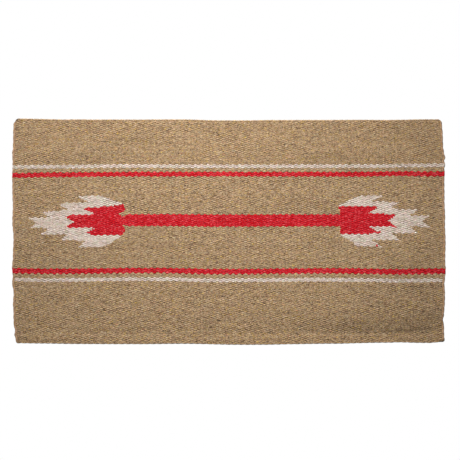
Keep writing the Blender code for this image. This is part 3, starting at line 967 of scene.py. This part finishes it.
def srgb(red, green, blue):
    """A colour written as a screen shows it, in linear light."""
    shares = (red / 255, green / 255, blue / 255)
    return tuple(c / 12.92 if c <= 0.04045 else ((c + 0.055) / 1.055) ** 2.4 for c in shares)


# The colours of each wool from its darkest to its lightest, and how its odd flecks differ
TAN_STOPS = (
    (0.00, srgb(70, 53, 42)),
    (0.10, srgb(108, 82, 62)),
    (0.26, srgb(156, 126, 98)),
    (0.50, srgb(184, 155, 120)),
    (0.72, srgb(202, 171, 132)),
    (0.88, srgb(220, 193, 159)),
    (1.00, srgb(242, 222, 197)),
)
TAN_ODD = (
    (0.00, (1.0, 1.0, 1.0)),
    (0.38, (1.04, 0.96, 1.02)),
    (0.54, (0.94, 1.0, 0.96)),
    (0.68, (1.04, 1.0, 0.72)),
    (0.80, (1.10, 0.95, 0.82)),
    (0.875, (1.10, 1.04, 0.42)),
    (0.90, (0.52, 0.50, 0.52)),
    (0.945, (0.88, 1.0, 1.12)),
    (0.99, (1.08, 0.74, 0.66)),
)
CREAM_STOPS = (
    (0.00, srgb(176, 156, 140)),
    (0.25, srgb(213, 195, 179)),
    (0.60, srgb(230, 214, 199)),
    (1.00, srgb(246, 235, 222)),
)
CREAM_ODD = (
    (0.00, (1.0, 1.0, 1.0)),
    (0.36, (1.05, 0.94, 0.94)),
    (0.62, (0.92, 1.0, 0.90)),
    (0.80, (1.02, 0.98, 1.08)),
    (0.93, (0.76, 0.72, 0.72)),
)
RED_STOPS = (
    (0.00, srgb(190, 0, 10)),
    (0.35, srgb(214, 10, 28)),
    (0.65, srgb(232, 44, 56)),
    (1.00, srgb(254, 120, 122)),
)
RED_ODD = (
    (0.00, (1.0, 1.0, 1.0)),
    (0.70, (0.95, 0.85, 0.95)),
    (0.92, (0.84, 0.62, 0.75)),
)
WARP_STOPS = (
    (0.00, srgb(190, 178, 150)),
    (1.00, srgb(222, 212, 190)),
)
PLAIN_ODD = (
    (0.00, (1.0, 1.0, 1.0)),
    (0.90, (0.80, 0.76, 0.74)),
)
SELVEDGE_TINT = (1.14, 1.05, 1.09)
SELVEDGE_STOPS = tuple(
    (place, tuple(part * share for part, share in zip(SELVEDGE_TINT, colour))) for place, colour in TAN_STOPS
)

TAN = {"stops": TAN_STOPS, "odd_stops": TAN_ODD, "sheen": 0.15}
# Each wool's slit value is how dark its painted shade is at the bottom of the slits
MATERIALS = {
    "tan_heather": wool("tan_heather_wool", **TAN, slit_shade=0.74, fleck=0.68, yarn=0.14, specks=TAN_SPECKS),
    # The upper field's copy of the tan wool has fainter painted shade in its slits and a smaller fleck share
    "upper_heather": wool("upper_heather_wool", **TAN, slit_shade=0.77, fleck=0.61, yarn=0.13, specks=TAN_SPECKS),
    "cream": wool(
        "cream_wool", CREAM_STOPS, CREAM_ODD,
        slit_shade=0.80, sheen=0.15, fleck=0.55, yarn=0.40, cells=CREAM_FLECK_SCALE,
    ),
    "red": wool("red_wool", RED_STOPS, RED_ODD, slit_shade=0.60, sheen=0.10, fleck=0.72, yarn=0.18),
    "edge_cord": wool("edge_cord_wool", **TAN, slit_shade=0.82, fleck=0.60, yarn=0.20),
    "selvedge": wool("selvedge_wool", SELVEDGE_STOPS, TAN_ODD, slit_shade=0.80, sheen=0.15, fleck=0.36, yarn=0.20),
    "warp_cord": wool("warp_cord_wool", WARP_STOPS, PLAIN_ODD, slit_shade=0.60, sheen=0.10, fleck=0.62, yarn=0.38),
}
CORD_AREAS = ("end_cord_upper", "end_cord_lower")


def attach(obj, left):
    """Bakes the piece's placement into its mesh, the same for either half."""
    if left:
        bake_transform(obj)
    else:
        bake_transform(obj)


def nodes_of(area, left):
    """The solids of the frame that an area stands for, with its share of the fold strip."""
    half = "left" if left else "right"
    if area in ("outer_field", "cream_arrow", "selvedge_cord"):
        return [f"{area}_{half}"]
    if area == "red_arrow":
        return [f"red_arrow_{half}"] + (["red_bar_fold"] if left else [])
    return [f"{area}_{half}"] + ([f"{area}_fold"] if left else [])


def dress(obj, material, nodes, left):
    """Gives a piece its wool, hides the solids that it stands for, and bakes its placement."""
    obj.data.materials.clear()
    obj.data.materials.append(MATERIALS[material])
    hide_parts(*nodes)
    attach(obj, left)


def build_cloth():
    """All pieces of the blanket, by their area and half, with the flat areas of the woven ones."""
    weave = Weave()
    cells = weave.faces()
    pieces = {}
    for left in (True, False):
        half = "left" if left else "right"
        ropes = make_selvedge(weave, left)
        for area in sorted(set(weave.area.ravel())):
            mask = (cells[2] == area) & (cells[3] == left)
            obj = cut_area(weave, cells, f"woven_{area}_{half}", mask)
            slot = AREA_SLOTS[area.split("_")[0]]
            if area in CORD_AREAS:
                obj = join(obj, make_end_cords(area.endswith("upper"), left))
                slot = "edge_cord"
            if area in WRAPPED_STRIPES:
                obj = join(obj, ropes[area])
            pieces[area, half] = (obj, float(piece_area(weave, cells, mask)))
            material = "upper_heather" if area == "field_upper" else slot
            dress(obj, material, nodes_of(area, left), left)
        dress(ropes["selvedge"], "selvedge", nodes_of("selvedge_cord", left), left)
        warp = make_warp(weave, left)
        dress(warp, "warp_cord", nodes_of("warp", left), left)
        pieces["selvedge", half] = (ropes["selvedge"], None)
        pieces["warp", half] = (warp, None)
    return pieces


def piece_area(weave, cells, mask):
    """The flat area of a colour area, from its floats' own sizes."""
    widths = np.diff(weave.places)[np.nonzero(mask)[1]]
    heights = weave.height[cells[0][mask]] / len(ROW_SHARES)
    return (widths * heights).sum()


def declare(pieces):
    """Goes through the pieces and passes over spacers, cream stripes and cords; nothing more is done with
    any of them.
    """
    for (area, half), (obj, flat_area) in pieces.items():
        if area.startswith(("spacer", "cream_stripe", "end_cord", "selvedge", "warp")):
            continue


# The camera, the floor and the light, in metres, degrees and watts
CAMERA_HEIGHT = 6.0
CAMERA_REACH = 50
SENSOR = 36.0
FLOOR_SIZE = 30.0
FLOOR_DROP = 0.4 * MM
FLOOR_GREY = 0.88
FILL_STRENGTH = 0.145
LAMP_SIZE = 1.0
LAMP_SPREAD = 63.6
LAMP_ENERGY = 26.8
LAMP_TURN = 18
LAMP_HEIGHT = 38
LAMP_DISTANCE = 4.0
LAMP_AIM = (0.07, -0.08)


def make_camera():
    """A camera high over the photograph's middle that sees what the photograph shows."""
    data = bpy.data.cameras.new("camera")
    data.sensor_width = SENSOR
    data.lens = SENSOR * CAMERA_HEIGHT / (FRAME_PX * PIXEL)
    data.clip_end = CAMERA_REACH
    obj = add_object("camera", data)
    x, y = blanket_point(FRAME_PX / 2, FRAME_PX / 2)
    obj.location = (x, y, CAMERA_HEIGHT + THICKNESS)
    bpy.context.scene.camera = obj


def choose(tree, lit, plain, output, *rays):
    """Shows a plain white to the given rays, and the lit shader to all others."""
    path = node(tree, "ShaderNodeLightPath")
    seen = path.outputs[rays[0]]
    for ray in rays[1:]:
        seen = combine(tree, "MAXIMUM", seen, path.outputs[ray])
    choice = node(tree, "ShaderNodeMixShader")
    for place, source in zip(choice.inputs, (seen, lit.outputs[0], plain.outputs[0])):
        tree.links.new(source, place)
    tree.links.new(choice.outputs["Shader"], node(tree, output).inputs["Surface"])


def make_floor():
    """A pale floor that lights the blanket's underside, and that the camera sees as plain white."""
    mesh = bpy.data.meshes.new("floor")
    half = FLOOR_SIZE / 2
    corners = [(-half, -half, 0), (half, -half, 0), (half, half, 0), (-half, half, 0)]
    mesh.from_pydata(corners, [], [(0, 1, 2, 3)])
    obj = add_object("floor", mesh)
    obj.location.z = -FLOOR_DROP
    material = bpy.data.materials.new("floor_white")
    tree = empty_tree(material)
    diffuse = node(tree, "ShaderNodeBsdfDiffuse", Color=(FLOOR_GREY, FLOOR_GREY, FLOOR_GREY, 1))
    glow = node(tree, "ShaderNodeEmission", Strength=1.0)
    rays = ("Is Camera Ray", "Is Glossy Ray", "Is Transmission Ray")
    choose(tree, diffuse, glow, "ShaderNodeOutputMaterial", *rays)
    mesh.materials.append(material)


def make_lights():
    """A soft lamp far beyond the upper long edge, rather low and a little to the left, and a pale world."""
    world = bpy.data.worlds.new("studio")
    tree = empty_tree(world)
    bpy.context.scene.world = world
    fill = node(tree, "ShaderNodeBackground", Strength=FILL_STRENGTH, Color=(1, 1, 1, 1))
    white = node(tree, "ShaderNodeBackground", Strength=1.0, Color=(1, 1, 1, 1))
    choose(tree, fill, white, "ShaderNodeOutputWorld", "Is Camera Ray", "Is Transmission Ray")
    lamp = bpy.data.lights.new("key", "AREA")
    lamp.shape = "RECTANGLE"
    lamp.size = LAMP_SIZE
    lamp.size_y = LAMP_SIZE
    lamp.spread = math.radians(LAMP_SPREAD)
    lamp.energy = LAMP_ENERGY
    obj = add_object("key", lamp)
    around, height = math.radians(LAMP_TURN), math.radians(LAMP_HEIGHT)
    level = math.cos(height)
    towards = np.array([-math.sin(around) * level, math.cos(around) * level, math.sin(height)])
    obj.location = LAMP_DISTANCE * towards + np.array([*LAMP_AIM, 0])
    obj.rotation_euler = (math.pi / 2 - height, 0, around + math.pi)


make_camera()
make_floor()
make_lights()
declare(build_cloth())
bpy.context.scene.view_settings.view_transform = "Standard"
